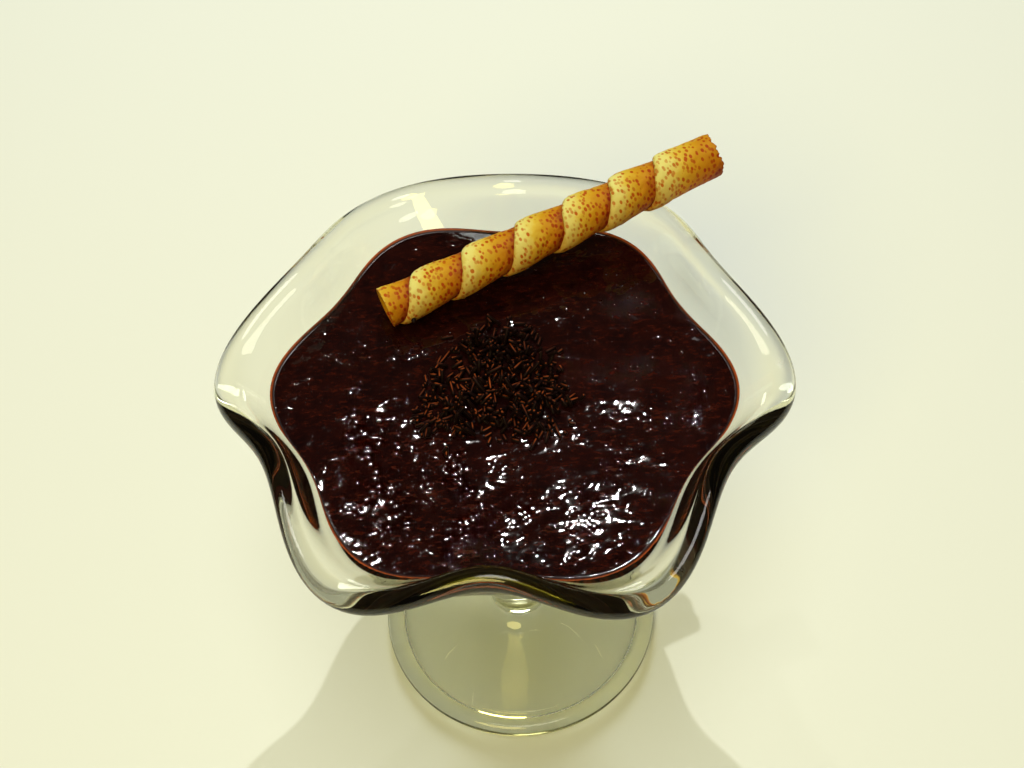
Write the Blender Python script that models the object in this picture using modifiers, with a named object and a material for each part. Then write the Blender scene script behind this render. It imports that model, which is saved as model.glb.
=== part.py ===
"""A portion of chocolate mousse in a footed glass dish with six petals, and a rolled wafer laid across it.

Metres, +Z up. The origin is the middle of the foot, on the surface that the dish stands on.
"""

import math

import bmesh
import bpy
from mathutils import Vector
from mathutils.geometry import interpolate_bezier

# Foot of the dish
FOOT_RADIUS = 0.0408
FOOT_ROLL = 0.0026  # radius of the foot's rounded edge
FOOT_RING_INSIDE = 0.0354  # the dish stands on the flat ring from here to the rounded edge
FOOT_HOLLOW = 0.0055  # height of the hollow under the foot, at its middle
FOOT_SHOULDER = (0.0180, 0.0096)  # where the foot's slope turns up to the neck

# Neck and bowl, as (radius, height) between the petals' highs and lows
NECK_RADIUS = 0.0082
NECK_HEIGHT = 0.0170
BOWL_TAIL = (0.0125, 0.0310)
BOWL_FLOOR = 0.0340
BOWL_HEEL = (0.0105, 0.0415)
BOWL_SHOULDER = (0.0446, 0.1060)  # inside the bowl, where its petals start to turn out
LEVEL_EDGE = (0.0518, 0.1172)  # inside the bowl, at the mousse's level
WALL = 0.0045
TAIL_SLOPE = 0.44  # how much the radius grows with height, low in the bowl
SHOULDER_SLOPE = 0.72
LEVEL_SLOPE = 0.90

# Lip
LIP_RADIUS = 0.0598  # middle of the rounded lip
LIP_HEIGHT = 0.1243
LIP_BEAD = 0.0029
LIP_LEAN = math.radians(57)  # how steeply the inside wall runs into the lip

# Petals
PETALS = 6
PETAL_BEARING = math.radians(-5.4)
PETAL_BODY = 0.046  # share of the radius that the petals swell by at the top of the bowl
PETAL_FLARE = 0.026  # and what they turn out by further, in the last stretch under the lip
PETAL_DROP = 0.0035  # how far a petal's tip hangs under the mean height of the lip
FLARE_END = 0.1215

# Mousse
GAP = 0.0004  # between pieces that touch
MOUND = 0.0009  # rise of the mousse in the middle
MOUND_RADIUS = 0.0300

# Rolled wafer
WAFER_START = Vector((-0.0268, 0.0217, 0.1224))  # middle of its straight end
WAFER_BEARING = math.radians(22.7)
WAFER_TILT = math.radians(6.0)
WAFER_LENGTH = 0.0905
WAFER_HIGH = 0.0059  # radius just past each overlap
WAFER_LOW = 0.0049  # radius just before the next one
WAFER_TAPER = 0.15  # how much wider it is at the broken end than at the straight one
WAFER_BORE = 0.0036
WAFER_PITCH = 0.0131  # length of one turn of the ribbon
WAFER_FIRST_EDGE = 0.0010  # where the lap starts on the underside, from the straight end
WAFER_EDGE = 0.0009  # length over which the ribbon's edge rises
WAFER_BREAK = 0.0011  # height of the broken end's teeth

TURN_STEPS = 60  # ten for each petal
WAFER_STEPS = 24


def clear_scene():
    for thing in list(bpy.data.objects):
        bpy.data.objects.remove(thing, do_unlink=True)


def new_collection(name):
    collection = bpy.data.collections.new(name)
    bpy.context.scene.collection.children.link(collection)
    return collection


def new_material(name, colour, roughness, transmission=0.0):
    material = bpy.data.materials.new(name)
    material.use_nodes = True
    shader = material.node_tree.nodes["Principled BSDF"]
    shader.inputs["Base Color"].default_value = (*colour, 1.0)
    shader.inputs["Roughness"].default_value = roughness
    shader.inputs["Metallic"].default_value = 0.0
    shader.inputs["Transmission Weight"].default_value = transmission
    return material


def add_object(name, mesh, collection, material=None):
    thing = bpy.data.objects.new(name, mesh)
    collection.objects.link(thing)
    if material:
        mesh.materials.append(material)
    return thing


def make_cutter(thing):
    thing.hide_render = True
    thing.display_type = "WIRE"


def evaluated_mesh(thing, name):
    """The object's mesh with its modifiers applied, and its doubled points made one."""
    graph = bpy.context.evaluated_depsgraph_get()
    mesh = bpy.data.meshes.new_from_object(thing.evaluated_get(graph))
    mesh.name = name
    shape = bmesh.new()
    shape.from_mesh(mesh)
    bmesh.ops.remove_doubles(shape, verts=shape.verts, dist=1e-6)
    shape.to_mesh(mesh)
    shape.free()
    return mesh


def turned_mesh(name, outline, steps, closed=False, rise=0.0, turns=1):
    """Turns an outline of (radius, height) points about Z. With a rise for each turn, it makes a helix."""
    mesh = bpy.data.meshes.new(name + "_outline")
    edges = [(i, i + 1) for i in range(len(outline) - 1)]
    if closed:
        edges.append((len(outline) - 1, 0))
    mesh.from_pydata([(radius, 0.0, height) for radius, height in outline], edges, [])
    guide = add_object(name + "_outline", mesh, bpy.context.scene.collection)
    screw = guide.modifiers.new("Turn", "SCREW")
    screw.steps = steps
    screw.render_steps = steps
    screw.screw_offset = rise
    screw.iterations = turns
    screw.use_merge_vertices = rise == 0.0
    screw.merge_threshold = 0.00001
    screw.use_smooth_shade = True
    result = evaluated_mesh(guide, name)
    bpy.data.objects.remove(guide, do_unlink=True)
    return result


def span(start, start_handle, end_handle, end, count):
    """A Bezier span between two outline points, in count steps, without its first point."""
    points = interpolate_bezier(Vector(start), Vector(start_handle), Vector(end_handle), Vector(end), count + 1)
    return [(point[0], point[1]) for point in points[1:]]


def wall_span(start, start_slope, end, end_slope, count):
    """A span between two points of a wall, whose radius grows with height by the slope at each."""
    third = (end[1] - start[1]) / 3
    start_handle = (start[0] + third * start_slope, start[1] + third)
    end_handle = (end[0] - third * end_slope, end[1] - third)
    return span(start, start_handle, end_handle, end, count)


def arc(centre, radius, first, last, count):
    """Points on a circle from one angle to another, in count steps, both ends included."""
    angles = [first + (last - first) * i / count for i in range(count + 1)]
    return [(centre[0] + radius * math.cos(a), centre[1] + radius * math.sin(a)) for a in angles]


def offset(point, slope, distance):
    """The point moved out and down, square to a wall whose radius grows by slope with height."""
    length = math.hypot(1.0, slope)
    return (point[0] + distance / length, point[1] - distance * slope / length)


def lip_arc():
    """The rounded lip, from where the inside wall meets it, over its top and down its outer side."""
    return arc((LIP_RADIUS, LIP_HEIGHT), LIP_BEAD, LIP_LEAN + math.pi / 2, math.radians(-75), 6)


def inside_outline():
    """The inside of the bowl, from the middle of its floor up to the mousse's level."""
    rise = (BOWL_HEEL[1] - BOWL_FLOOR) / 2
    heel_below = (BOWL_HEEL[0] - rise * TAIL_SLOPE, BOWL_HEEL[1] - rise)
    points = [(0.0, BOWL_FLOOR)]
    points += span(points[0], (BOWL_HEEL[0] * 0.6, BOWL_FLOOR), heel_below, BOWL_HEEL, 3)
    points += wall_span(BOWL_HEEL, TAIL_SLOPE, BOWL_SHOULDER, SHOULDER_SLOPE, 4)
    points += wall_span(BOWL_SHOULDER, SHOULDER_SLOPE, LEVEL_EDGE, LEVEL_SLOPE, 4)
    return points


def outside_outline():
    """The outside of the bowl, from under the lip down to the neck."""
    lip_end = lip_arc()[-1]
    near_lip = (lip_end[0] - LIP_BEAD * 0.6, lip_end[1] - LIP_BEAD * 0.2)
    top = offset(LEVEL_EDGE, LEVEL_SLOPE, WALL)
    top_above = (top[0] + 0.002 * LEVEL_SLOPE, top[1] + 0.002)
    shoulder = offset(BOWL_SHOULDER, SHOULDER_SLOPE, WALL)
    points = span(lip_end, near_lip, top_above, top, 2)
    points += wall_span(top, LEVEL_SLOPE, shoulder, SHOULDER_SLOPE, 2)
    points += wall_span(shoulder, SHOULDER_SLOPE, BOWL_TAIL, TAIL_SLOPE, 4)
    points += wall_span(BOWL_TAIL, TAIL_SLOPE, (NECK_RADIUS, NECK_HEIGHT), 0.0, 3)
    return points


def foot_outline():
    """The foot, from the neck over its slope and rounded edge to the flat ring and the hollow under it."""
    neck, shoulder = (NECK_RADIUS, NECK_HEIGHT), FOOT_SHOULDER
    roll = arc((FOOT_RADIUS - FOOT_ROLL, FOOT_ROLL), FOOT_ROLL, math.radians(120), math.radians(-90), 6)
    slope = (shoulder[1] - roll[0][1]) / (roll[0][0] - shoulder[0])
    shoulder_in = (shoulder[0] - 0.006, shoulder[1] + 0.006 * slope)
    points = span(neck, (neck[0], neck[1] - 0.004), shoulder_in, shoulder, 3)
    points += roll
    ring = (FOOT_RING_INSIDE, 0.0)
    step = (FOOT_RING_INSIDE - 0.0012, 0.0011)
    points.append(ring)
    points.append(step)
    points += span(step, (step[0] * 0.7, FOOT_HOLLOW * 0.75), (step[0] * 0.4, FOOT_HOLLOW), (0.0, FOOT_HOLLOW), 3)
    return points


def share(height, low, high):
    """0 at and below low, 1 at and above high."""
    return min(1.0, max(0.0, (height - low) / (high - low)))


def shape_petals(mesh):
    """Swells and drops each point with the cosine of its bearing, more and more towards the lip."""
    for vertex in mesh.vertices:
        x, y, height = vertex.co
        wave = math.cos(PETALS * math.atan2(y, x))
        rise = share(height, NECK_HEIGHT, FLARE_END)
        flare = share(height, BOWL_SHOULDER[1], FLARE_END) ** 3
        swell = 1.0 + wave * (PETAL_BODY * rise + PETAL_FLARE * flare)
        vertex.co = (x * swell, y * swell, height - wave * PETAL_DROP * flare)


def finish_round(thing, sharp_degrees):
    thing.data.shade_smooth()
    thing.data.set_sharp_from_angle(angle=math.radians(sharp_degrees))


def make_dish(collection):
    outline = inside_outline() + lip_arc() + outside_outline() + foot_outline()
    mesh = turned_mesh("glass_dish", outline, TURN_STEPS)
    shape_petals(mesh)
    glass = new_material("clear_glass", (0.93, 0.95, 0.88), 0.02, transmission=1.0)
    dish = add_object("glass_dish", mesh, collection, glass)
    dish.rotation_euler.z = PETAL_BEARING
    finish_round(dish, 40)
    return dish


def make_level_cutter(cutters):
    """All that lies under the mousse's surface: level at the wall, and a low mound in the middle."""
    reach = LIP_RADIUS + 4 * LIP_BEAD
    level = LEVEL_EDGE[1]
    mound = [(MOUND_RADIUS * i / 4, level + MOUND * math.cos(math.pi * i / 8) ** 2) for i in range(5)]
    outline = mound + [(reach, level), (reach, 0.0), (0.0, 0.0)]
    cutter = add_object("mousse_level", turned_mesh("mousse_level", outline, TURN_STEPS), cutters)
    cutter.rotation_euler.z = PETAL_BEARING
    make_cutter(cutter)
    return cutter


def place_on_wafer_axis(thing):
    """Lays an object that was made along Z on the wafer's axis."""
    thing.rotation_euler = (0.0, math.pi / 2 - WAFER_TILT, WAFER_BEARING)
    thing.location = WAFER_START


def make_trough_cutter(cutters):
    """A plain round bar a little wider than the wafer, which the mousse is cut back from."""
    radius = WAFER_HIGH + GAP
    outline = [(0.0, WAFER_LENGTH), (radius, WAFER_LENGTH), (radius, -GAP), (0.0, -GAP)]
    cutter = add_object("wafer_trough", turned_mesh("wafer_trough", outline, 2 * WAFER_STEPS), cutters)
    place_on_wafer_axis(cutter)
    make_cutter(cutter)
    return cutter


def make_mousse(collection, cutters):
    wall = inside_outline() + lip_arc()[:1]
    tangents = [(after[0] - before[0], after[1] - before[1]) for before, after in zip(wall, wall[2:])]
    slopes = [outward / max(1e-6, upward) for outward, upward in tangents]
    inner = [offset(point, slope, -GAP) for point, slope in zip(wall[1:], slopes)]
    top = offset(wall[-1], slopes[-1], -GAP)
    outline = [(0.0, top[1]), top] + inner[::-1] + [(0.0, BOWL_FLOOR + GAP)]
    mesh = turned_mesh("mousse", outline, TURN_STEPS)
    shape_petals(mesh)
    chocolate = new_material("chocolate_mousse", (0.022, 0.007, 0.004), 0.16)
    mousse = add_object("mousse", mesh, collection, chocolate)
    mousse.rotation_euler.z = PETAL_BEARING
    for name, operation, cutter in (
        ("Level", "INTERSECT", make_level_cutter(cutters)),
        ("Trough", "DIFFERENCE", make_trough_cutter(cutters)),
    ):
        cut = mousse.modifiers.new(name, "BOOLEAN")
        cut.operation = operation
        cut.object = cutter
    finish_round(mousse, 35)
    return mousse


def broken_edge(angle):
    """The broken end's teeth: waves of unlike lengths round the roll."""
    waves = math.sin(5 * angle + 0.4) + 0.7 * math.sin(9 * angle + 2.0) + 0.4 * math.sin(2 * angle)
    return WAFER_BREAK * waves / 2.1


def make_wafer_blank(cutters):
    """A tube as long as the wafer, with one straight end and one broken end."""
    outer = WAFER_HIGH + 0.002
    outline = [(outer, WAFER_LENGTH), (outer, 0.0), (WAFER_BORE, 0.0), (WAFER_BORE, WAFER_LENGTH)]
    mesh = turned_mesh("wafer_blank", outline, WAFER_STEPS, closed=True)
    for vertex in mesh.vertices:
        if vertex.co.z > WAFER_LENGTH / 2:
            vertex.co.z += broken_edge(math.atan2(vertex.co.y, vertex.co.x))
    blank = add_object("wafer_blank", mesh, cutters)
    place_on_wafer_axis(blank)
    make_cutter(blank)
    return blank


def close_ends(mesh):
    """Closes each open end of a helix with a fan."""
    shape = bmesh.new()
    shape.from_mesh(mesh)
    open_edges = [edge for edge in shape.edges if edge.is_boundary]
    caps = bmesh.ops.holes_fill(shape, edges=open_edges)["faces"]
    bmesh.ops.poke(shape, faces=caps)
    bmesh.ops.recalc_face_normals(shape, faces=shape.faces)
    shape.to_mesh(mesh)
    shape.free()


def make_wafer(collection, cutters):
    """A ribbon wound in a helix, each turn lapped over the one before it, cut to length and bored."""
    outline = [
        (WAFER_LOW, WAFER_PITCH),
        (WAFER_LOW + 0.5 * (WAFER_HIGH - WAFER_LOW), WAFER_PITCH * 0.6),
        (WAFER_HIGH, WAFER_PITCH * 0.22),
        (WAFER_HIGH - 0.0001, WAFER_EDGE),
        (WAFER_LOW, 0.0),
    ]
    turns = math.ceil(WAFER_LENGTH / WAFER_PITCH) + 4
    mesh = turned_mesh("wafer_roll", outline, WAFER_STEPS, rise=-WAFER_PITCH, turns=turns)
    close_ends(mesh)
    lift = WAFER_FIRST_EDGE + WAFER_PITCH * (turns - 2)
    for vertex in mesh.vertices:
        vertex.co.z += lift
        wide = 1 + WAFER_TAPER * (vertex.co.z / WAFER_LENGTH - 0.5)
        vertex.co.x *= wide
        vertex.co.y *= wide
    baked = new_material("baked_wafer", (0.62, 0.34, 0.08), 0.55)
    wafer = add_object("wafer_roll", mesh, collection, baked)
    place_on_wafer_axis(wafer)
    cut = wafer.modifiers.new("Length and bore", "BOOLEAN")
    cut.operation = "INTERSECT"
    cut.object = make_wafer_blank(cutters)
    finish_round(wafer, 30)
    return wafer


def main():
    clear_scene()
    parts = new_collection("Chocolate_Mousse")
    cutters = new_collection("Cutters")
    make_dish(parts)
    make_mousse(parts, cutters)
    make_wafer(parts, cutters)


main()
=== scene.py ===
# Chocolate mousse in a clear glass dish with six petals, a rolled wafer laid across it
# and a heap of sprinkles. Sizes in the dictionaries are in millimetres.

import math

import bmesh
import bpy
import numpy as np
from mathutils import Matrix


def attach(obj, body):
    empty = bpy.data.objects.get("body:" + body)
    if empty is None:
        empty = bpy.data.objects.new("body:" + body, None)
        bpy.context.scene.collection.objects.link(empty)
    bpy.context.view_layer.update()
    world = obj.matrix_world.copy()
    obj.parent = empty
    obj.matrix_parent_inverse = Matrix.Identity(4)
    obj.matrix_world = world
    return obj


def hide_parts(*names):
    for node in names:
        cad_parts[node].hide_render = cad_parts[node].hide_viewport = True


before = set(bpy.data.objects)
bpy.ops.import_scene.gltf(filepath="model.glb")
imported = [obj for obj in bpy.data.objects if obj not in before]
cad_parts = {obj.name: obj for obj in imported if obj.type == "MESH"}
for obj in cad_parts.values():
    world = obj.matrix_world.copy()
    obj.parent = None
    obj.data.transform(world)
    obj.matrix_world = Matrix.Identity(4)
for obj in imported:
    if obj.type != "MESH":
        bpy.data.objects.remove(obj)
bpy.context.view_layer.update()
mm = 0.001
fullTurn = 2 * math.pi
print("frame loaded:", ", ".join(sorted(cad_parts)))


# A Bezier span: (1-t)^3 a + 3(1-t)^2 t b + 3(1-t) t^2 c + t^3 d, for count values of t after 0.
def bezierSpan(a, b, c, d, count):
    t = np.arange(1, count + 1)[:, None] / count
    a, b, c, d = (np.array(point, float) for point in (a, b, c, d))
    return (1 - t) ** 3 * a + 3 * (1 - t) ** 2 * t * b + 3 * (1 - t) * t ** 2 * c + t ** 3 * d


# A wall's span: its radius grows with height by startSlope at one end and endSlope at the other.
def wallSpan(start, startSlope, end, endSlope, count):
    third = (end[1] - start[1]) / 3
    nearStart = (start[0] + third * startSlope, start[1] + third)
    nearEnd = (end[0] - third * endSlope, end[1] - third)
    return bezierSpan(start, nearStart, nearEnd, end, count)


# Points on a circle: centre + radius (cos a, sin a), with a in degrees from first to last.
def arcSpan(centre, radius, first, last, count):
    angle = np.radians(np.linspace(first, last, count + 1))
    return np.array(centre) + radius * np.stack([np.cos(angle), np.sin(angle)], axis=1)


# Moves a point by distance, square to a wall whose radius grows by slope with height.
def offsetPoint(point, slope, distance):
    length = math.hypot(1.0, slope)
    return (point[0] + distance / length, point[1] - distance * slope / length)


# 0 up to low, 1 from high on, and 3s^2 - 2s^3 between.
def smoothShare(value, low, high):
    share = np.clip((value - low) / (high - low), 0, 1)
    return share * share * (3 - 2 * share)


# Smooth noise from -1 to 1: random values on a square lattice of the given cell, mixed between the four
# nearest corners with the weight 6s^5 - 15s^4 + 10s^3. The seed turns the lattice, so that no two line up.
def latticeNoise(x, y, cell, seed):
    side = 256
    values = np.random.default_rng(seed).uniform(-1, 1, (side, side))
    column = (x * math.cos(seed) - y * math.sin(seed)) / cell + 97.3
    row = (x * math.sin(seed) + y * math.cos(seed)) / cell + 41.7
    i, j = np.floor(column).astype(int), np.floor(row).astype(int)
    s, t = column - i, row - j
    s, t = (share ** 3 * (share * (6 * share - 15) + 10) for share in (s, t))
    i, j, iNext, jNext = i % side, j % side, (i + 1) % side, (j + 1) % side
    low = values[j, i] * (1 - s) + values[j, iNext] * s
    high = values[jNext, i] * (1 - s) + values[jNext, iNext] * s
    return low * (1 - t) + high * t


# The quads of a grid of points, numbered row by row from first. A closed grid joins its last column to its
# first.
def gridFaces(rows, columns, closed=False, first=0):
    number = np.arange(rows * columns).reshape(rows, columns) + first
    if closed:
        number = np.concatenate([number, number[:, :1]], axis=1)
    corners = (number[:-1, :-1], number[:-1, 1:], number[1:, 1:], number[1:, :-1])
    return np.stack(corners, axis=-1).reshape(-1, 4)


# Makes an object at the origin from points in millimetres and quads, with points closer than weld, in metres,
# made one. Edges sharper than sharp degrees stay sharp.
def makePiece(name, points, faces, material, weld=1e-6, sharp=None, attributes=None):
    mesh = bpy.data.meshes.new(name)
    mesh.from_pydata((np.asarray(points, float).reshape(-1, 3) * mm).tolist(), [], faces.tolist())
    for label, values in (attributes or {}).items():
        layer = mesh.attributes.new(label, "FLOAT", "POINT")
        layer.data.foreach_set("value", np.asarray(values, np.float32))
    shape = bmesh.new()
    shape.from_mesh(mesh)
    bmesh.ops.remove_doubles(shape, verts=shape.verts, dist=weld)
    bmesh.ops.dissolve_degenerate(shape, edges=shape.edges, dist=weld)
    edging = {face for edge in shape.edges if edge.is_boundary for face in edge.link_faces}
    flaps = [face for face in edging if any(len(edge.link_faces) > 2 for edge in face.edges)]
    bmesh.ops.delete(shape, geom=flaps, context="FACES")  # what a weld folded onto its neighbour
    bmesh.ops.recalc_face_normals(shape, faces=shape.faces)
    shape.to_mesh(mesh)
    shape.free()
    mesh.shade_smooth()
    if sharp is not None:
        mesh.set_sharp_from_angle(angle=math.radians(sharp))
    mesh.materials.append(material)
    piece = bpy.data.objects.new(name, mesh)
    bpy.context.scene.collection.objects.link(piece)
    return piece


# A new material with its nodes, its links and its Principled shader, whose sockets get the values.
def newMaterial(name, **values):
    material = bpy.data.materials.new(name)
    material.use_nodes = True
    nodes, links = material.node_tree.nodes, material.node_tree.links
    shader = nodes["Principled BSDF"]
    for socket, value in values.items():
        shader.inputs[socket.replace("_", " ")].default_value = value
    return material, nodes, links, shader


# A new node: a setting goes to the socket of its name, or to the node's own property.
def addNode(nodes, kind, **settings):
    node = nodes.new(kind)
    for name, value in settings.items():
        if name in node.inputs:
            node.inputs[name].default_value = value
        else:
            setattr(node, name, value)
    return node


# A colour ramp from (position, colour) stops.
def addRamp(nodes, stops, interpolation="LINEAR"):
    ramp = nodes.new("ShaderNodeValToRGB")
    ramp.color_ramp.interpolation = interpolation
    elements = ramp.color_ramp.elements
    for _ in range(len(stops) - 2):
        elements.new(0.5)
    for element, (position, colour) in zip(elements, stops):
        element.position = position
        element.color = (*colour, 1.0)
    return ramp


camera = dict(lens=44.02, sensor=36.0, nearest=10.0, place=(2.2, -173.1, 353.2), downward=53.65, roll=-4.0)


# It stands on the -Y side and looks down by the stated angle, in degrees.
def makeCamera():
    data = bpy.data.cameras.new("camera")
    data.lens = camera["lens"]
    data.sensor_width = camera["sensor"]
    data.clip_start = camera["nearest"] * mm
    viewer = bpy.data.objects.new("camera", data)
    bpy.context.scene.collection.objects.link(viewer)
    viewer.location = [value * mm for value in camera["place"]]
    viewer.rotation_euler = (math.radians(90 - camera["downward"]), 0, 0)
    viewer.rotation_euler.rotate_axis("Z", math.radians(camera["roll"]))
    bpy.context.scene.camera = viewer


makeCamera()
print("camera set")


dish = dict(
    footRadius=40.8, footRoll=2.6, ringInside=35.4, hollow=5.5, footShoulder=(18.0, 9.6),
    neckRadius=8.2, neckHeight=17.0, tail=(12.5, 31.0), floorHeight=34.0, heel=(10.5, 41.5),
    shoulder=(44.6, 106.0), levelEdge=(51.8, 117.2), wall=4.5,
    tailSlope=0.44, shoulderSlope=0.72, levelSlope=0.90,
    lipRadius=59.8, lipHeight=124.3, lipBead=2.9, lipLean=57,
    petals=6, petalTurn=-5.4, bodySwell=0.046, flareSwell=0.026, petalDrop=3.5, flareEnd=121.5,
    columns=240, waviness=0.03, absorbs=42.0, tint=(0.82, 0.79, 0.34),
)


# Swells a round shape into petals: the radius grows, and the height drops, by the cosine of six times the
# bearing, more and more towards the lip.
def petalPoints(radius, height, bearing):
    wave = np.cos(dish["petals"] * bearing)
    rise = np.clip((height - dish["neckHeight"]) / (dish["flareEnd"] - dish["neckHeight"]), 0, 1)
    flare = np.clip((height - dish["shoulder"][1]) / (dish["flareEnd"] - dish["shoulder"][1]), 0, 1) ** 3
    swollen = radius * (1 + wave * (dish["bodySwell"] * rise + dish["flareSwell"] * flare))
    turned = bearing + math.radians(dish["petalTurn"])
    lowered = height - wave * dish["petalDrop"] * flare
    return np.stack([swollen * np.cos(turned), swollen * np.sin(turned), lowered + 0 * bearing], axis=-1)


# The inside of the bowl, from the middle of its floor to the mousse's level.
def insideOutline():
    heel, floorHeight, slope = dish["heel"], dish["floorHeight"], dish["tailSlope"]
    rise = (heel[1] - floorHeight) / 2
    middle = (0.0, floorHeight)
    belowHeel = (heel[0] - rise * slope, heel[1] - rise)
    return np.concatenate([
        [middle],
        bezierSpan(middle, (heel[0] * 0.6, floorHeight), belowHeel, heel, 10),
        wallSpan(heel, slope, dish["shoulder"], dish["shoulderSlope"], 24),
        wallSpan(dish["shoulder"], dish["shoulderSlope"], dish["levelEdge"], dish["levelSlope"], 10),
    ])


# The lip's bead, from where the inside wall meets it, over its top and down its outer side.
def lipOutline():
    return arcSpan((dish["lipRadius"], dish["lipHeight"]), dish["lipBead"], dish["lipLean"] + 90, -75, 26)


# The outside of the bowl, from under the lip down to the neck.
def outsideOutline(lipEnd):
    bead, tail = dish["lipBead"], dish["tail"]
    levelSlope, shoulderSlope, tailSlope = dish["levelSlope"], dish["shoulderSlope"], dish["tailSlope"]
    top = offsetPoint(dish["levelEdge"], levelSlope, dish["wall"])
    shoulder = offsetPoint(dish["shoulder"], shoulderSlope, dish["wall"])
    nearLip = (lipEnd[0] - bead * 0.6, lipEnd[1] - bead * 0.2)
    return np.concatenate([
        bezierSpan(lipEnd, nearLip, (top[0] + 2 * levelSlope, top[1] + 2), top, 10),
        wallSpan(top, levelSlope, shoulder, shoulderSlope, 10),
        wallSpan(shoulder, shoulderSlope, tail, tailSlope, 30),
        wallSpan(tail, tailSlope, (dish["neckRadius"], dish["neckHeight"]), 0.0, 14),
    ])


# The foot: from the neck over its slope and rounded edge to the flat ring and the hollow under it.
def footOutline():
    roll, radius = dish["footRoll"], dish["footRadius"]
    hollow, ringInside = dish["hollow"], dish["ringInside"]
    neck, shoulder = (dish["neckRadius"], dish["neckHeight"]), dish["footShoulder"]
    edge = arcSpan((radius - roll, roll), roll, 120, -90, 20)
    slope = (shoulder[1] - edge[0, 1]) / (edge[0, 0] - shoulder[0])
    afterShoulder, beforeEdge = (shoulder[0] + 6, shoulder[1] - 6 * slope), edge[0] - [6, -6 * slope]
    step = (ringInside - 0.5, 1.5)
    return np.concatenate([
        bezierSpan(neck, (neck[0], neck[1] - 4), (shoulder[0] - 6, shoulder[1] + 6 * slope), shoulder, 14),
        bezierSpan(shoulder, afterShoulder, beforeEdge, edge[0], 14),
        edge[1:],
        [(ringInside, 0.0), (ringInside - 0.12, 0.4), (ringInside - 0.22, 1.1), step],
        bezierSpan(step, (step[0] * 0.7, hollow * 0.75), (step[0] * 0.4, hollow), (0.0, hollow), 20),
    ])


# Clear and polished, faintly rippled, and tinted by its depth.
def glassMaterial():
    material, nodes, links, shader = newMaterial(
        "clearGlass", Roughness=0.0, IOR=1.5, Transmission_Weight=1.0,
    )
    shader.inputs["Base Color"].default_value = (1.0, 1.0, 1.0, 1.0)
    place = nodes.new("ShaderNodeTexCoord")
    ripple = addNode(nodes, "ShaderNodeTexNoise", Scale=60.0, Detail=1.0)
    bump = addNode(nodes, "ShaderNodeBump", Strength=0.25, Distance=0.0004)
    links.new(place.outputs["Object"], ripple.inputs["Vector"])
    links.new(ripple.outputs["Fac"], bump.inputs["Height"])
    links.new(bump.outputs["Normal"], shader.inputs["Normal"])
    tint = addNode(nodes, "ShaderNodeVolumeAbsorption", Density=dish["absorbs"])
    tint.inputs["Color"].default_value = (*dish["tint"], 1.0)
    links.new(tint.outputs["Volume"], nodes["Material Output"].inputs["Volume"])
    return material


# The dish: its outline turned about Z on a grid of (place along the outline, bearing), swollen into petals,
# and made a little uneven above its tail by 1 + waviness times noise.
def makeDish():
    lip = lipOutline()
    outline = np.concatenate([insideOutline(), lip, outsideOutline(lip[-1]), footOutline()])
    bearing = np.arange(dish["columns"]) * fullTurn / dish["columns"]
    points = petalPoints(outline[:, :1], outline[:, 1:], bearing[None, :])
    wavy = latticeNoise(points[..., 0] + 2 * points[..., 2], points[..., 1] - points[..., 2], 22.0, 5)
    high = smoothShare(outline[:, 1:], 40.0, 70.0)
    uneven = dish["waviness"] * high * wavy / np.maximum(outline[:, :1], 20.0)
    points[..., :2] *= 1 + uneven[..., None]
    faces = gridFaces(len(outline), dish["columns"], closed=True)
    piece = makePiece("dish", points, faces, glassMaterial(), sharp=50)
    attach(piece, "root")
    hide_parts("glass_dish")
    return piece


makeDish()
print("dish made")


mousse = dict(
    intoWall=0.25, below=0.25, mound=0.9, moundRadius=30.0, cells=250, wallRows=14, grain=math.radians(14),
    filmFrom=0.980, filmOnSide=0.4, filmRise=0.5, filmColour=(0.42, 0.075, 0.006),
    waves=[  # cell, height, how much longer along the grain, seed
        (8.0, 0.28, 1.2, 21), (3.2, 0.055, 1.6, 22), (1.9, 0.045, 1.7, 23), (1.1, 0.040, 1.6, 24),
    ],
    ridge=(2.5, 20.5, 9.0, 2.6, 0.42),  # between the wafer and the heap: x, y, reach x, reach y, height
    dark=(0.0062, 0.0013, 0.0015), light=(0.0135, 0.0022, 0.0017), speck=(0.034, 0.0048, 0.0022),
)


# How far the wall stands from the middle at each bearing, at the mousse's level, in mm.
def wallReach(bearing):
    edge = petalPoints(dish["levelEdge"][0], np.full_like(bearing, dish["levelEdge"][1]), bearing)
    return np.hypot(edge[..., 0], edge[..., 1])


# The height of the mousse's surface: a low mound, waves that are longer along the grain than across it, a
# ridge that falls off as e^(-x^2 - y^2), and a thin rim drawn up the wall.
def surfaceHeight(x, y, reachShare):
    distance = np.hypot(x, y)
    mound = mousse["mound"] * np.cos(np.clip(distance / mousse["moundRadius"], 0, 1) * math.pi / 2) ** 2
    along = x * math.cos(mousse["grain"]) + y * math.sin(mousse["grain"])
    off = -x * math.sin(mousse["grain"]) + y * math.cos(mousse["grain"])
    waves = 0 * x
    for cell, height, stretch, seed in mousse["waves"]:
        waves = waves + height * latticeNoise(along / stretch, off, cell, seed)
    middleX, middleY, reachX, reachY, height = mousse["ridge"]
    waves = waves + height * np.exp(-((x - middleX) / reachX) ** 2 - ((y - middleY) / reachY) ** 2)
    inner = 1 - smoothShare(reachShare, 0.9, 0.99)
    rim = mousse["filmRise"] * smoothShare(reachShare, mousse["filmFrom"], 1.0) ** 2
    return dish["levelEdge"][1] - mousse["below"] + mound + waves * (0.25 + 0.75 * inner) + rim


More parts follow.
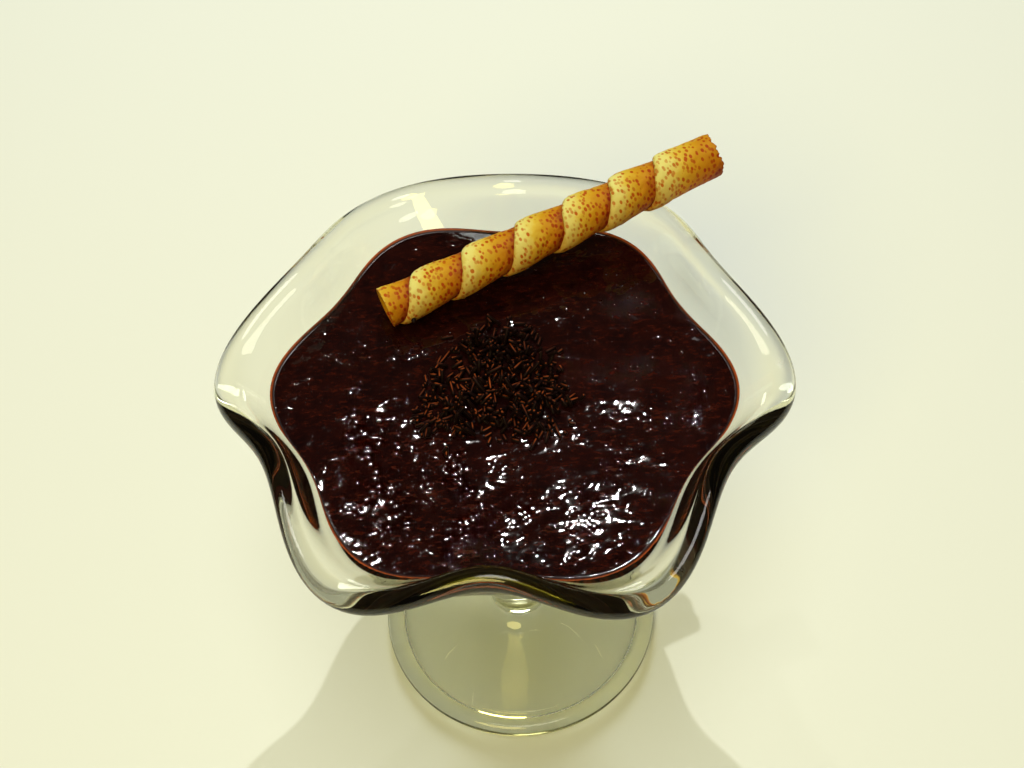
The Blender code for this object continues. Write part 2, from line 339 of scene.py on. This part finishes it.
# Dark and wet, with browner patches and specks and small bubbles. The film attribute makes it thin, light and
# dull where it climbs the glass, and dull and smooth where it lies against the glass.
def mousseMaterial():
    material, nodes, links, shader = newMaterial("chocolateMousse", IOR=1.45)
    shader.inputs["Specular IOR Level"].default_value = 0.32
    place = nodes.new("ShaderNodeTexCoord")
    patches = addNode(nodes, "ShaderNodeTexNoise", Scale=190.0, Detail=5.0, Roughness=0.62)
    colours = addRamp(nodes, [(0.36, mousse["dark"]), (0.66, mousse["light"])])
    links.new(place.outputs["Object"], patches.inputs["Vector"])
    links.new(patches.outputs["Fac"], colours.inputs["Fac"])
    aligned = addNode(nodes, "ShaderNodeMapping")
    aligned.inputs["Rotation"].default_value = (0.0, 0.0, -mousse["grain"])
    aligned.inputs["Scale"].default_value = (0.45, 1.0, 1.0)
    links.new(place.outputs["Object"], aligned.inputs["Vector"])
    dots = addNode(nodes, "ShaderNodeTexNoise", Scale=900.0, Detail=3.0, Roughness=0.7)
    links.new(aligned.outputs["Vector"], dots.inputs["Vector"])
    share = addRamp(nodes, [(0.50, (0, 0, 0)), (0.76, (1, 1, 1))])
    links.new(dots.outputs["Fac"], share.inputs["Fac"])
    specked = addNode(nodes, "ShaderNodeMix", data_type="RGBA")
    specked.inputs[7].default_value = (*mousse["speck"], 1.0)
    links.new(share.outputs["Color"], specked.inputs[0])
    links.new(colours.outputs["Color"], specked.inputs[6])
    film = addNode(nodes, "ShaderNodeAttribute", attribute_name="film")
    filmed = addNode(nodes, "ShaderNodeMix", data_type="RGBA")
    filmed.inputs[7].default_value = (*mousse["filmColour"], 1.0)
    thin = addRamp(nodes, [(0.45, (0, 0, 0)), (1.0, (1, 1, 1))])
    links.new(film.outputs["Fac"], thin.inputs["Fac"])
    links.new(thin.outputs["Color"], filmed.inputs[0])
    links.new(specked.outputs[2], filmed.inputs[6])
    links.new(filmed.outputs[2], shader.inputs["Base Color"])
    gloss = addRamp(nodes, [(0.0, (0.038,) * 3), (0.25, (0.5,) * 3)])
    links.new(film.outputs["Fac"], gloss.inputs["Fac"])
    links.new(gloss.outputs["Color"], shader.inputs["Roughness"])
    grain = addNode(nodes, "ShaderNodeTexNoise", Scale=1300.0, Detail=3.0, Roughness=0.6)
    links.new(place.outputs["Object"], grain.inputs["Vector"])
    relief = addRamp(nodes, [(0.0, (1, 1, 1)), (0.25, (0, 0, 0))])
    links.new(film.outputs["Fac"], relief.inputs["Fac"])
    bump = addNode(nodes, "ShaderNodeBump", Distance=0.000005)
    links.new(relief.outputs["Color"], bump.inputs["Strength"])
    links.new(grain.outputs["Fac"], bump.inputs["Height"])
    bubbles = addNode(nodes, "ShaderNodeTexVoronoi", Scale=600.0, Randomness=1.0)
    links.new(place.outputs["Object"], bubbles.inputs["Vector"])
    dome = addRamp(nodes, [(0.0, (1, 1, 1)), (0.32, (0, 0, 0))], "EASE")
    links.new(bubbles.outputs["Distance"], dome.inputs["Fac"])
    raised = addNode(nodes, "ShaderNodeBump", Distance=0.00005)
    links.new(relief.outputs["Color"], raised.inputs["Strength"])
    links.new(dome.outputs["Color"], raised.inputs["Height"])
    links.new(bump.outputs["Normal"], raised.inputs["Normal"])
    links.new(raised.outputs["Normal"], shader.inputs["Normal"])
    return material


# The mousse. Its top is a square grid drawn onto a disc, ring by square ring, and out to the wall: the larger
# of |a| and |b| gives the reach, and their ratio the bearing within an eighth of a turn. Its sides run down
# just inside the glass to a point at the bowl's floor.
def makeMousse():
    cells = mousse["cells"]
    line = np.linspace(-1, 1, cells + 1)
    a, b = np.meshgrid(line, line)
    across = np.abs(a) >= np.abs(b)
    signed = np.where(across, a, b)
    safe = np.where(signed == 0, 1.0, signed)
    eighth = np.where(across, b, a) / safe * math.pi / 4
    bearing = np.where(across, eighth, math.pi / 2 - eighth) + math.pi * (signed < 0)
    share = np.abs(signed)
    ring = 1 - (1 - share) ** 1.12
    turned = bearing + math.radians(dish["petalTurn"])
    reach = (wallReach(bearing) + mousse["intoWall"]) * ring
    x, y = reach * np.cos(turned), reach * np.sin(turned)
    top = np.stack([x, y, surfaceHeight(x, y, ring)], axis=-1)
    faces = [gridFaces(cells + 1, cells + 1)]
    border = np.concatenate([top[0, :-1], top[:-1, -1], top[-1, :0:-1], top[:0:-1, 0]])
    borderBearing = np.concatenate([
        bearing[0, :-1], bearing[:-1, -1], bearing[-1, :0:-1], bearing[:0:-1, 0],
    ])
    wall = insideOutline()[:-2]
    wall = wall[np.linspace(len(wall) - 1, 0, mousse["wallRows"]).round().astype(int)]
    outward = np.gradient(wall, axis=0)
    outward = np.stack([-outward[:, 1], outward[:, 0]], axis=1)
    outward /= np.linalg.norm(outward, axis=1)[:, None]
    wall = wall + outward * mousse["intoWall"]
    wall[-1, 0] = 0.0
    side = petalPoints(wall[:, :1], wall[:, 1:], borderBearing[None, :])
    side = np.concatenate([border[None], side])
    faces.append(gridFaces(len(side), len(border), closed=True, first=(cells + 1) ** 2))
    points = np.concatenate([top.reshape(-1, 3), side.reshape(-1, 3)])
    film = np.concatenate([
        smoothShare(ring.ravel(), mousse["filmFrom"], 1.0),
        np.full(side.size // 3, mousse["filmOnSide"]),
    ])
    piece = makePiece(
        "mousse_filling", points, np.concatenate(faces), mousseMaterial(), weld=2e-6,
        attributes={"film": film},
    )
    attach(piece, "root")
    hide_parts("mousse")
    return piece


makeMousse()
print("mousse made")


wafer = dict(
    start=(-26.8, 21.7, 122.4), bearing=22.7, tilt=6.0, length=90.5, taper=0.15, pitch=13.1,
    firstTurn=-1.336, edges=(-17.6, -4.3, 9.5, 23.6, 37.6, 50.9, 63.5, 76.3, 89.2, 102.1, 115.0),
    edgeEnds=(5.72, 6.14), bore=3.6, columns=144, rowsAcross=44, endRows=26, boreRows=24,
    wobble=0.15, layers=4, grooveDepth=0.7, teeth=0.32,
    # The ramp below is the baked colour from a lap to the next; its darkest last stops also paint the shade
    # in the hollow under the next lap.
    bakeAndLapShade=[  # from a lap to the next
        (0.0, (0.62, 0.52, 0.12)), (0.05, (0.70, 0.66, 0.20)), (0.22, (0.69, 0.61, 0.15)),
        (0.40, (0.63, 0.44, 0.040)), (0.62, (0.54, 0.28, 0.008)), (0.85, (0.47, 0.19, 0.004)),
        (0.96, (0.32, 0.085, 0.002)), (1.0, (0.26, 0.055, 0.002)),
    ],
    # The first colour below is painted shade, multiplied onto the roll's low side, where less light falls.
    lowSidePaintedShade=(0.92, 0.52, 0.30), pore=(0.68, 0.20, 0.05),
)
# one turn of the ribbon, from its raised edge to where the next turn laps it: (mm past the edge, radius)
ribbonProfile = np.array([
    (0.10, 4.76), (0.00, 4.90), (0.00, 5.10), (0.14, 5.34), (0.45, 5.57), (1.0, 5.76), (1.9, 5.87),
    (3.1, 5.89), (5.5, 5.72), (8.0, 5.38), (10.5, 5.09), (12.2, 4.92), (13.1, 4.84),
])
# the last turn, which no other laps, from where that lap would have been
ribbonTail = np.array([(8.0, 5.50), (10.5, 5.36), (13.1, 5.24), (16.0, 5.15), (20.0, 5.06), (26.0, 5.00)])


# Where the ribbon's edge lies along the roll after so many turns, in mm: between the stated places, with a
# wobble that is a sum of two sines.
def ribbonEdge(turns):
    known = wafer["firstTurn"] + np.arange(len(wafer["edges"]))
    sway = np.sin(turns * 9.7 + 2.0) + 0.7 * np.sin(turns * 23.0)
    return np.interp(turns, known, wafer["edges"]) + wafer["wobble"] * sway


# Turns points of the roll, given as (along, radius, bearing about its own axis), into its place on the dish.
def placeOnRoll(along, radius, bearing):
    b, t = math.radians(wafer["bearing"]), math.radians(wafer["tilt"])
    axis = np.array([math.cos(t) * math.cos(b), math.cos(t) * math.sin(b), math.sin(t)])
    down = np.array([math.sin(t) * math.cos(b), math.sin(t) * math.sin(b), -math.cos(t)])
    side = np.array([-math.sin(b), math.cos(b), 0.0])
    round_ = radius[..., None] * (np.cos(bearing)[..., None] * down + np.sin(bearing)[..., None] * side)
    return np.array(wafer["start"]) + along[..., None] * axis + round_


# The outline of the broken end: sines of unlike lengths round the roll, and a finer jagged noise, in mm.
def brokenEnd(bearing):
    waves = np.sin(3 * bearing + 0.4) + 0.6 * np.sin(7 * bearing + 2.0)
    jagged = latticeNoise(5 * np.cos(bearing), 5 * np.sin(bearing), 0.55, 31)
    return wafer["length"] + wafer["teeth"] * (waves / 1.6 + jagged)


# Baked from pale at a lap to brown where the next begins, with painted shade in the hollow under the next lap
# and painted shade that makes its low side browner, and dotted with brown pores that are darker where the
# ribbon is.
def waferMaterial():
    material, nodes, links, shader = newMaterial("bakedWafer", Roughness=0.6, IOR=1.45)
    shader.inputs["Specular IOR Level"].default_value = 0.16
    across = addNode(nodes, "ShaderNodeAttribute", attribute_name="across")
    # Baked colour, with painted shade at its dark end, under the next lap.
    bakeAndLapShade = addRamp(nodes, wafer["bakeAndLapShade"])
    place = nodes.new("ShaderNodeTexCoord")
    turned = addNode(nodes, "ShaderNodeMapping")
    b, t = math.radians(wafer["bearing"]), math.radians(wafer["tilt"])
    turned.vector_type = "TEXTURE"
    turned.inputs["Rotation"].default_value = (0.0, math.pi / 2 - t, b)
    links.new(place.outputs["Object"], turned.inputs["Vector"])
    mottle = addNode(nodes, "ShaderNodeTexNoise", Scale=260.0, Detail=4.0, Roughness=0.6)
    links.new(turned.outputs["Vector"], mottle.inputs["Vector"])
    shift = addNode(nodes, "ShaderNodeMath", operation="MULTIPLY_ADD")
    links.new(mottle.outputs["Fac"], shift.inputs[0])
    shift.inputs[1].default_value = 0.5
    links.new(across.outputs["Fac"], shift.inputs[2])
    centred = addNode(nodes, "ShaderNodeMath", operation="SUBTRACT")
    centred.inputs[1].default_value = 0.25
    links.new(shift.outputs["Value"], centred.inputs[0])
    links.new(centred.outputs["Value"], bakeAndLapShade.inputs["Fac"])
    # Painted shade: the roll's low side is multiplied by a darker, redder colour.
    lowSidePaintedShade = addNode(nodes, "ShaderNodeAttribute", attribute_name="lowSidePaintedShade")
    lowSidePaintedShadeMix = addNode(nodes, "ShaderNodeMix", data_type="RGBA", blend_type="MULTIPLY")
    lowSidePaintedShadeMix.inputs[7].default_value = (*wafer["lowSidePaintedShade"], 1.0)
    links.new(lowSidePaintedShade.outputs["Fac"], lowSidePaintedShadeMix.inputs[0])
    links.new(bakeAndLapShade.outputs["Color"], lowSidePaintedShadeMix.inputs[6])
    stretched = addNode(nodes, "ShaderNodeMapping")
    stretched.inputs["Scale"].default_value = (1.0, 1.0, 1.45)
    links.new(turned.outputs["Vector"], stretched.inputs["Vector"])
    pores = addNode(nodes, "ShaderNodeTexVoronoi", Scale=700.0, Randomness=1.0)
    links.new(stretched.outputs["Vector"], pores.inputs["Vector"])
    spot = addRamp(nodes, [(0.0, (1, 1, 1)), (0.32, (0.95, 0.95, 0.95)), (0.46, (0, 0, 0)), (1.0, (0, 0, 0))])
    links.new(pores.outputs["Distance"], spot.inputs["Fac"])
    each = nodes.new("ShaderNodeSeparateXYZ")
    links.new(pores.outputs["Color"], each.inputs["Vector"])
    uneven = addNode(nodes, "ShaderNodeMath", operation="MULTIPLY_ADD")
    links.new(each.outputs["X"], uneven.inputs[0])
    uneven.inputs[1].default_value = 0.6
    uneven.inputs[2].default_value = 0.4
    riper = addNode(nodes, "ShaderNodeMath", operation="MULTIPLY_ADD")
    links.new(centred.outputs["Value"], riper.inputs[0])
    riper.inputs[1].default_value = 0.4
    links.new(uneven.outputs["Value"], riper.inputs[2])
    amount = addNode(nodes, "ShaderNodeMath", operation="MULTIPLY", use_clamp=True)
    links.new(spot.outputs["Color"], amount.inputs[0])
    links.new(riper.outputs["Value"], amount.inputs[1])
    spotted = addNode(nodes, "ShaderNodeMix", data_type="RGBA", blend_type="MULTIPLY")
    links.new(amount.outputs["Value"], spotted.inputs[0])
    links.new(lowSidePaintedShadeMix.outputs[2], spotted.inputs[6])
    spotted.inputs[7].default_value = (*wafer["pore"], 1.0)
    links.new(spotted.outputs[2], shader.inputs["Base Color"])
    height = addNode(nodes, "ShaderNodeMath", operation="SUBTRACT")
    links.new(mottle.outputs["Fac"], height.inputs[0])
    links.new(amount.outputs["Value"], height.inputs[1])
    bump = addNode(nodes, "ShaderNodeBump", Strength=0.5, Distance=0.00012)
    links.new(height.outputs["Value"], bump.inputs["Height"])
    links.new(bump.outputs["Normal"], shader.inputs["Normal"])
    return material


# The roll. Its skin is the ribbon's profile carried along a left-handed helix: row i of turn k lies past the
# edge number k - bearing/turn, up to the place where that edge ends and the last turn runs on as the ribbon's
# tail. Rows past either end are drawn back onto it. A second grid closes the ends and the bore.
def makeWafer():
    columns, perTurn = wafer["columns"], wafer["rowsAcross"]
    bearing = np.linspace(0, fullTurn, columns + 1)[None, :]
    lengths = np.concatenate([[0], np.cumsum(np.hypot(*np.diff(ribbonProfile, axis=0).T))])
    rows = np.interp(np.linspace(0, lengths[-1], perTurn), lengths, np.arange(len(lengths)))
    past = np.interp(rows, np.arange(len(lengths)), ribbonProfile[:, 0])[None, :, None]
    radius = np.interp(rows, np.arange(len(lengths)), ribbonProfile[:, 1])[None, :, None]
    turnCount = math.ceil(wafer["length"] / wafer["pitch"]) + 3
    turns = (np.arange(turnCount)[:, None, None] - 1) - bearing[None] / fullTurn
    here, following = ribbonEdge(turns), ribbonEdge(turns + 1)
    ended = smoothShare(turns, *wafer["edgeEnds"])
    even = np.linspace(0, wafer["pitch"], perTurn)[None, :, None]
    past = past + (even - past) * ended
    along = here + past / wafer["pitch"] * (following - here)
    tail = np.interp(along - ribbonEdge(turns - 1), ribbonTail[:, 0], ribbonTail[:, 1])
    unlapped = smoothShare(turns + 1, *wafer["edgeEnds"])
    lateTail = np.interp(along - here, ribbonTail[:, 0], ribbonTail[:, 1])
    radius = radius + (lateTail - radius) * unlapped * smoothShare(past, 4.0, 9.0)
    radius = radius + (tail - radius) * ended
    bumps = 0.07 * latticeNoise(along + 9 * np.cos(bearing), 9 * np.sin(bearing) + 0 * along, 2.4, 32)
    bumps += 0.05 * latticeNoise(along * 1.3 + 7 * np.cos(bearing), 7 * np.sin(bearing) + 0 * along, 0.9, 33)
    radii = (radius + bumps) * (1 + wafer["taper"] * (along / wafer["length"] - 0.5))
    across = np.clip(past / wafer["pitch"], 0, 1) * (1 - 0.28 * unlapped)
    across = across + (0.72 + 0.5 * past / wafer["pitch"] - across) * ended
    shape = (turnCount * perTurn, columns + 1)
    along, radii, across = along.reshape(shape), radii.reshape(shape), across.reshape(shape)
    broken = brokenEnd(bearing[0])
    rimStart = np.array([np.interp(0.0, along[:, j], radii[:, j]) for j in range(columns + 1)])
    rimEnd = np.array([np.interp(broken[j], along[:, j], radii[:, j]) for j in range(columns + 1)])
    radii = np.where(along < 0, rimStart, np.where(along > broken, rimEnd, radii))
    along = np.clip(along, 0, broken)
    skin = placeOnRoll(along, radii, np.broadcast_to(bearing, along.shape))

    share = np.linspace(0, 1, wafer["endRows"])[:, None]
    spiral = np.sin(fullTurn * (wafer["layers"] * share - bearing / fullTurn))
    groove = wafer["grooveDepth"] * smoothShare(spiral, 0.2, 0.9)
    groove = groove * smoothShare(share, 0, 0.08) * smoothShare(1 - share, 0, 0.08)
    boreShare = np.linspace(0, 1, wafer["boreRows"])[1:-1, None]
    closeAlong = np.concatenate([groove * 0.6, boreShare * broken, (broken - groove)[::-1]])
    closeRadius = np.concatenate([
        rimStart + (wafer["bore"] - rimStart) * share,
        wafer["bore"] + 0 * boreShare * bearing,
        (rimEnd + (wafer["bore"] - rimEnd) * share)[::-1],
    ])
    closing = placeOnRoll(closeAlong, closeRadius, np.broadcast_to(bearing, closeAlong.shape))
    points = np.concatenate([skin.reshape(-1, 3), closing.reshape(-1, 3)])
    faces = [gridFaces(*shape), gridFaces(len(closing), columns + 1, first=skin.size // 3)]
    across = np.concatenate([across.ravel(), np.full(closing.size // 3, 0.72)])
    # How much painted shade each point takes: most on the roll's low side, at 318 degrees about its axis.
    lowSide = (0.5 + 0.5 * np.cos(bearing - math.radians(318))) ** 2
    lowSidePaintedShade = np.concatenate([(lowSide + 0 * along).ravel(), (lowSide + 0 * closeAlong).ravel()])
    piece = makePiece(
        "wafer", points, np.concatenate(faces), waferMaterial(), weld=4e-6,
        attributes={"across": across, "lowSidePaintedShade": lowSidePaintedShade},
    )
    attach(piece, "root")
    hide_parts("wafer_roll")
    return piece


makeWafer()
print("wafer made")


sprinkles = dict(
    count=640, thickness=0.90, shortest=1.5, longest=4.6, crumbs=0.30, upright=0.12,
    sides=8, seed=7, cell=0.2,
    heaps=[  # middle x, middle y, reach x, reach y, share of the sprinkles
        (-2.0, -1.0, 17.0, 14.5, 0.50), (0.0, 13.0, 9.5, 6.5, 0.14), (-13.0, -7.0, 8.0, 7.0, 0.09),
        (9.0, -8.5, 8.5, 7.0, 0.11), (0.5, 2.0, 11.0, 9.0, 0.11), (-3.0, 0.0, 23.0, 20.0, 0.05),
    ],
    odd=[(-20.2, 17.9, 121.9, 0.07, -0.64, 0.77, 1.3, 0.62)],  # middle, direction, length, radius
    # The second colour below is a painted highlight for the top of each rod.
    dark=(0.0070, 0.0024, 0.0020), crown=(0.26, 0.050, 0.006),
)


# Nearly black, with a painted highlight: a warm crown along the side that faces up, where the light falls.
def sprinkleMaterial():
    material, nodes, links, shader = newMaterial("chocolateSprinkles", Roughness=0.5, IOR=1.45)
    shader.inputs["Specular IOR Level"].default_value = 0.08
    facing = nodes.new("ShaderNodeNewGeometry")
    height = nodes.new("ShaderNodeSeparateXYZ")
    # Each rod's strength of the painted highlight, with painted shadow of the wafer towards +Y.
    own = addNode(nodes, "ShaderNodeAttribute", attribute_name="shade")
    links.new(facing.outputs["Normal"], height.inputs["Vector"])
    # Painted highlight: the crown colour goes where the normal points up.
    crown = addRamp(nodes, [(0.90, (0, 0, 0)), (0.985, (1, 1, 1))])
    links.new(height.outputs["Z"], crown.inputs["Fac"])
    amount = addNode(nodes, "ShaderNodeMath", operation="MULTIPLY")
    links.new(crown.outputs["Color"], amount.inputs[0])
    links.new(own.outputs["Fac"], amount.inputs[1])
    colours = addNode(nodes, "ShaderNodeMix", data_type="RGBA")
    colours.inputs[6].default_value = (*sprinkles["dark"], 1.0)
    colours.inputs[7].default_value = (*sprinkles["crown"], 1.0)
    links.new(amount.outputs["Value"], colours.inputs[0])
    links.new(colours.outputs[2], shader.inputs["Base Color"])
    place = nodes.new("ShaderNodeTexCoord")
    grain = addNode(nodes, "ShaderNodeTexNoise", Scale=2500.0, Detail=2.0)
    bump = addNode(nodes, "ShaderNodeBump", Strength=0.2, Distance=0.00003)
    links.new(place.outputs["Object"], grain.inputs["Vector"])
    links.new(grain.outputs["Fac"], bump.inputs["Height"])
    links.new(bump.outputs["Normal"], shader.inputs["Normal"])
    return material


# Drops the rods one by one onto a map of heights. A rod comes to rest on the two high spots on either side
# of its middle. Returns each rod's middle, direction, length and radius.
def dropSprinkles(random):
    reach, cell = 30.0, sprinkles["cell"]
    longer = sprinkles["longest"] - sprinkles["shortest"]
    line = np.arange(-reach, reach, cell)
    mapX, mapY = np.meshgrid(line, line)
    heights = surfaceHeight(mapX, mapY, 0 * mapX) - 0.15
    chances = np.array([heap[4] for heap in sprinkles["heaps"]])
    rods = []
    for _ in range(sprinkles["count"]):
        x0, y0, reachX, reachY, _ = sprinkles["heaps"][random.choice(len(chances), p=chances / chances.sum())]
        heading, out = random.uniform(0, fullTurn), random.uniform(0, 1) ** 0.5
        x, y = x0 + reachX * out * math.cos(heading), y0 + reachY * out * math.sin(heading)
        radius = sprinkles["thickness"] / 2 * random.uniform(0.9, 1.1)
        length = sprinkles["shortest"] + longer * random.beta(1.3, 2.2)
        if random.random() < sprinkles["crumbs"]:
            length = random.uniform(0.8, 1.5)
        if waferGap(x, y) < 0 or abs(x) > 27 or abs(y) > 25:
            continue
        yaw = random.uniform(0, math.pi)
        steps = np.linspace(-0.5, 0.5, 9) * length
        column = ((x + steps * math.cos(yaw) + reach) / cell).astype(int)
        row = ((y + steps * math.sin(yaw) + reach) / cell).astype(int)
        support = heights[row, column] + radius
        left, right = np.meshgrid(np.arange(4), np.arange(5, 9), indexing="ij")
        slope = (support[right] - support[left]) / (steps[right] - steps[left])
        atMiddle = support[left] - slope * steps[left]
        best = np.unravel_index(np.argmax(atMiddle), atMiddle.shape)
        z, lean = max(atMiddle[best], support[4]), slope[best]
        if random.random() < sprinkles["upright"]:
            lean, length = random.choice([-1, 1]) * random.uniform(0.8, 2.5), min(length, 2.0)
            z += 0.15 * length * abs(lean) / math.hypot(1, lean)
        direction = np.array([math.cos(yaw), math.sin(yaw), lean]) / math.hypot(1, lean)
        rods.append((x, y, z, *direction, length, radius))
        flat = math.hypot(direction[0], direction[1])
        t = ((mapX - x) * direction[0] + (mapY - y) * direction[1]) / flat
        off = np.abs((mapX - x) * direction[1] - (mapY - y) * direction[0]) / flat
        under = (np.abs(t) < length * flat / 2) & (off < radius)
        crown = z + t * direction[2] / flat + np.sqrt(np.maximum(radius ** 2 - off ** 2, 0))
        heights = np.where(under, np.maximum(heights, crown), heights)
    return np.array(rods + sprinkles["odd"])


# How far a spot of the mousse lies from the wafer's side, seen from above, in mm.
def waferGap(x, y):
    b = math.radians(wafer["bearing"])
    dx, dy = x - wafer["start"][0], y - wafer["start"][1]
    along, off = dx * math.cos(b) + dy * math.sin(b), -dx * math.sin(b) + dy * math.cos(b)
    return abs(off) - 5.6 if along > -2 else 9.0


# Each sprinkle is one rod: rings of eight points along its direction, drawn in to a point at both blunt ends.
def makeSprinkles():
    random = np.random.default_rng(sprinkles["seed"])
    rods = dropSprinkles(random)
    middle, direction, length, radius = rods[:, :3], rods[:, 3:6], rods[:, 6], rods[:, 7]
    side = np.cross(direction, [0.13, 0.27, 0.95])
    side /= np.linalg.norm(side, axis=1)[:, None]
    other = np.cross(direction, side)
    ringRadius = np.array([0.0, 0.72, 1.0, 1.0, 1.0, 0.72, 0.0])
    inset = np.array([0.0, 0.05, 0.45])
    count = len(rods)
    place = np.concatenate([
        -length[:, None] / 2 + inset[None] * radius[:, None],
        np.zeros((count, 1)),
        (length[:, None] / 2 - inset[None] * radius[:, None])[:, ::-1],
    ], axis=1)
    place[:, 3] += random.uniform(-0.15, 0.15, count) * length
    bend = random.uniform(-0.12, 0.12, (count, 1)) * (1 - (2 * place / length[:, None]) ** 2)
    width = radius[:, None] * ringRadius[None] * random.uniform(0.93, 1.05, (count, 7))
    around = np.arange(sprinkles["sides"]) * fullTurn / sprinkles["sides"]
    centre = middle[:, None] + place[..., None] * direction[:, None] + bend[..., None] * other[:, None]
    cosine, sine = np.cos(around)[None, None, :, None], np.sin(around)[None, None, :, None]
    turn = cosine * side[:, None, None] + sine * other[:, None, None]
    points = centre[:, :, None] + width[:, :, None, None] * turn
    ring = gridFaces(7, sprinkles["sides"], closed=True)
    faces = (ring[None] + (np.arange(count) * 7 * sprinkles["sides"])[:, None, None]).reshape(-1, 4)
    # Painted highlight strength per rod: random, and halved towards +Y as painted shadow of the wafer over
    # the heap's far side; the odd rod gets none.
    shaded = random.uniform(0.2, 1, count) * (1 - 0.5 * smoothShare(middle[:, 1], 5, 15))
    shaded[-len(sprinkles["odd"]):] = 0
    shade = np.repeat(shaded, 7 * sprinkles["sides"])
    piece = makePiece(
        "sprinkles", points, faces, sprinkleMaterial(), weld=5e-7, sharp=50, attributes={"shade": shade},
    )
    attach(piece, "root")
    return piece


makeSprinkles()
print("sprinkles made")


light = dict(
    aimHeight=118.0, floor=6000.0, floorDrop=0.15, floorColour=(0.82, 0.86, 0.77),
    surroundings=(0.050, 0.040, 0.025), throughGlass=(0.34, 0.35, 0.27), backdrop=(0.82, 0.83, 0.76),
    lamps=[  # name, bearing, height angle, distance, width, power, colour, seen through glass, seen in gloss
        ("lampRight", 10.0, 62.5, 1100, 12, 3.8, (1.0, 0.98, 0.94), False, True),
        ("lampLeft", -16.0, 59.0, 1100, 7, 0.5, (1.0, 0.96, 0.88), False, True),
        ("lampSoft", 180.0, 78.0, 1300, 620, 5.6, (1.0, 0.99, 0.95), True, True),
        ("lampFront", 200.0, 43.0, 1300, 600, 8.2, (1.0, 0.84, 0.27), True, True),
        ("lampFar", 0.0, 31.0, 1500, 600, 9.6, (0.90, 0.96, 1.0), True, False),
    ],
)


# One pale square, just clear of the foot.
def makeFloor():
    half = light["floor"] / 2
    corners = np.array([(-1, -1), (1, -1), (1, 1), (-1, 1)]) * half
    points = np.column_stack([corners, np.full(4, -light["floorDrop"])])
    material, nodes, links, shader = newMaterial("paleFloor", Roughness=0.8)
    shader.inputs["Base Color"].default_value = (*light["floorColour"], 1.0)
    piece = makePiece("floor", points, np.array([[0, 1, 2, 3]]), material)


# A round lamp at a bearing (from +Y, clockwise) and a height angle, in degrees, aimed at the mousse's middle.
def makeLamp(name, bearing, height, distance, width, power, colour, throughGlass, inGloss):
    data = bpy.data.lights.new(name, "AREA")
    data.shape = "DISK"
    data.size = width * mm
    data.energy = power
    data.color = colour
    lamp = bpy.data.objects.new(name, data)
    bpy.context.scene.collection.objects.link(lamp)
    b, h = math.radians(bearing), math.radians(height)
    lamp.location = (
        distance * mm * math.cos(h) * math.sin(b),
        distance * mm * math.cos(h) * math.cos(b),
        distance * mm * math.sin(h) + light["aimHeight"] * mm,
    )
    lamp.rotation_euler = (math.pi / 2 - h, 0, math.pi - b)
    lamp.visible_transmission = throughGlass
    lamp.visible_glossy = inGloss


# Dark surroundings for the light and the reflections, lighter ones seen through glass, and a pale backdrop
# where the camera looks past the floor.
def makeWorld():
    world = bpy.data.worlds.new("studio")
    bpy.context.scene.world = world
    world.use_nodes = True
    nodes, links = world.node_tree.nodes, world.node_tree.links
    seen = nodes.new("ShaderNodeLightPath")
    behindGlass = addNode(nodes, "ShaderNodeMix", data_type="RGBA")
    behindGlass.inputs[6].default_value = (*light["surroundings"], 1.0)
    behindGlass.inputs[7].default_value = (*light["throughGlass"], 1.0)
    links.new(seen.outputs["Is Transmission Ray"], behindGlass.inputs[0])
    choice = addNode(nodes, "ShaderNodeMix", data_type="RGBA")
    choice.inputs[7].default_value = (*light["backdrop"], 1.0)
    links.new(behindGlass.outputs[2], choice.inputs[6])
    links.new(seen.outputs["Is Camera Ray"], choice.inputs[0])
    links.new(choice.outputs[2], nodes["Background"].inputs["Color"])


makeFloor()
makeWorld()
for lamp in light["lamps"]:
    makeLamp(*lamp)
bpy.context.scene.view_settings.view_transform = "Standard"
print("light set")
